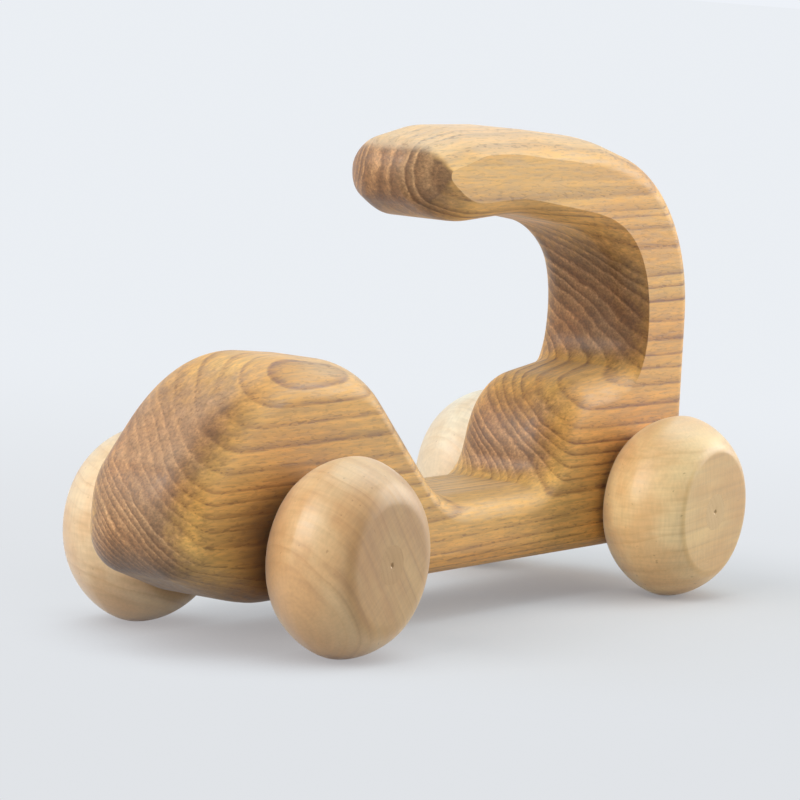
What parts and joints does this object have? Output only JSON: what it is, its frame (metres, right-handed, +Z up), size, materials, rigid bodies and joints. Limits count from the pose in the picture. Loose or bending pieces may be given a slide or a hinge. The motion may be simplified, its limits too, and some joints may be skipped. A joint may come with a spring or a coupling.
{
  "type": "wooden push-along toy car",
  "caption": "Wooden push-along toy car carved from one plank, with a domed bonnet, a low saddle, a C-shaped push handle over the seat, and turned wheels on dowel axles.",
  "frame": {"origin": "on the floor under the middle of the car's overall length and width", "axes": "+X to the nose, +Y to the car's left side, +Z up"},
  "size_m": [0.191, 0.0702, 0.1022],
  "materials": {
    "body_wood": "oiled hardwood with strong growth rings, satin",
    "wheel_wood": "pale turned hardwood, oiled, satin",
    "dowel_wood": "dowel end grain, oiled, satin"
  },
  "bodies": {
    "car_body": {"body": "body_wood"},
    "front_wheelset": {"front_axle": "dowel_wood", "front_left_wheel": "wheel_wood", "front_right_wheel": "wheel_wood"},
    "rear_wheelset": {"rear_axle": "dowel_wood", "rear_left_wheel": "wheel_wood", "rear_right_wheel": "wheel_wood"}
  },
  "joints": [
    {"name": "front_wheels_turn", "type": "hinge", "parent": "car_body", "child": "front_wheelset", "pos_m": [0.0553, 0, 0.02], "axis": [0, 1, 0], "continuous": true},
    {"name": "rear_wheels_turn", "type": "hinge", "parent": "car_body", "child": "rear_wheelset", "pos_m": [-0.0727, 0, 0.02], "axis": [0, 1, 0], "continuous": true}
  ]
}
